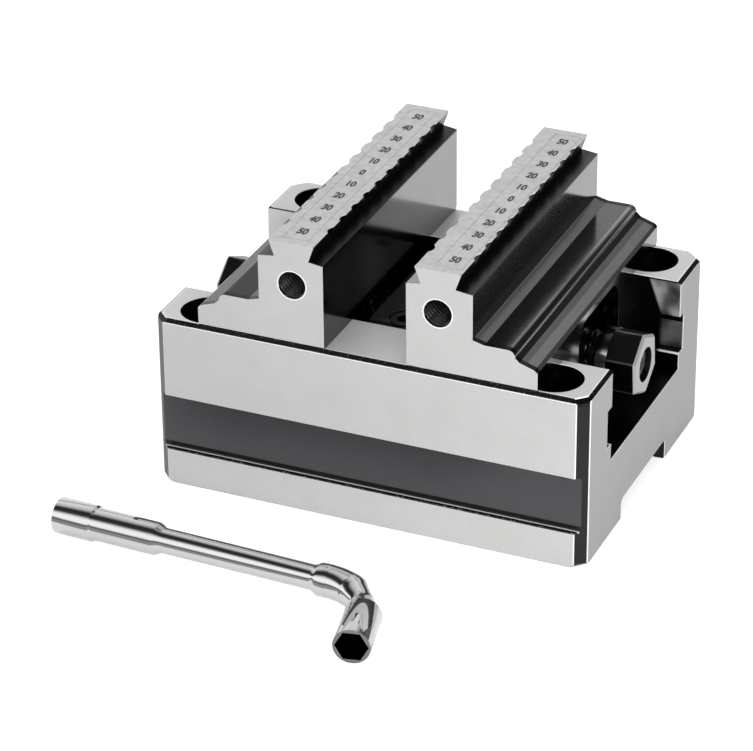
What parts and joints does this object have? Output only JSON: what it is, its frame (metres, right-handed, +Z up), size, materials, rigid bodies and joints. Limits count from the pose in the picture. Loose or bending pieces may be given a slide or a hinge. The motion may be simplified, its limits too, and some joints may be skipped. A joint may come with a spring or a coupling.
{
  "type": "self-centering vise",
  "caption": "Self-centering machine vise: slotted steel base, mirrored toothed jaws driven together by one two-handed spindle, with its socket wrench.",
  "frame": {"origin": "centre of the mounting-hole pattern at the base's underside", "axes": "+X along the spindle, to the right in the picture; +Y along the jaws, away from the viewer; +Z up"},
  "size_m": [0.1762, 0.2016, 0.104],
  "materials": {
    "ground_steel": "ground, with blackened recesses",
    "jaw_steel": "blackened long faces, ground ends and ridge",
    "black_steel": "black oxide",
    "bearing_steel": "black oxide, machined",
    "nut_steel": "hardened, dark",
    "bronze": "turned bronze",
    "chrome": "bright chrome plate",
    "pin_steel": "ground"
  },
  "bodies": {
    "base": {"base_body": "ground_steel", "bearing_saddle": "bearing_steel", "bearing_cap": "bearing_steel", "cap_screws": "black_steel", "saddle_screws": "black_steel", "saddle_dowels": "pin_steel", "thrust_washer_left": "bronze", "thrust_washer_right": "bronze"},
    "drive_spindle": {"spindle": "black_steel", "hex_head_left": "black_steel", "hex_head_right": "black_steel", "hex_screw_left": "pin_steel", "hex_screw_right": "pin_steel"},
    "left_jaw": {"jaw_left": "jaw_steel", "lead_nut_left": "nut_steel", "nut_screws_left": "black_steel"},
    "right_jaw": {"jaw_right": "jaw_steel", "lead_nut_right": "nut_steel", "nut_screws_right": "black_steel"},
    "wrench": {"socket_wrench": "chrome"}
  },
  "joints": [
    {"name": "spindle_spin", "type": "hinge", "parent": "base", "child": "drive_spindle", "pos_m": [0, 0, 0.05], "axis": [1, 0, 0], "range_deg": [-1350, 1170]},
    {"name": "right_jaw_slide", "type": "slide", "parent": "base", "child": "right_jaw", "axis": [1, 0, 0], "range_m": [-0.015, 0.013]},
    {"name": "left_jaw_slide", "type": "slide", "parent": "base", "child": "left_jaw", "axis": [-1, 0, 0], "range_m": [-0.015, 0.013]},
    {"name": "wrench_lift", "type": "slide", "parent": "base", "child": "wrench", "axis": [0, 0, 1], "range_m": [0, 0.1]}
  ],
  "couplings": [
    {"joint": "spindle_spin", "follows": "right_jaw_slide", "rad_per_m": 1570.8},
    {"joint": "left_jaw_slide", "follows": "right_jaw_slide", "ratio": 1}
  ]
}
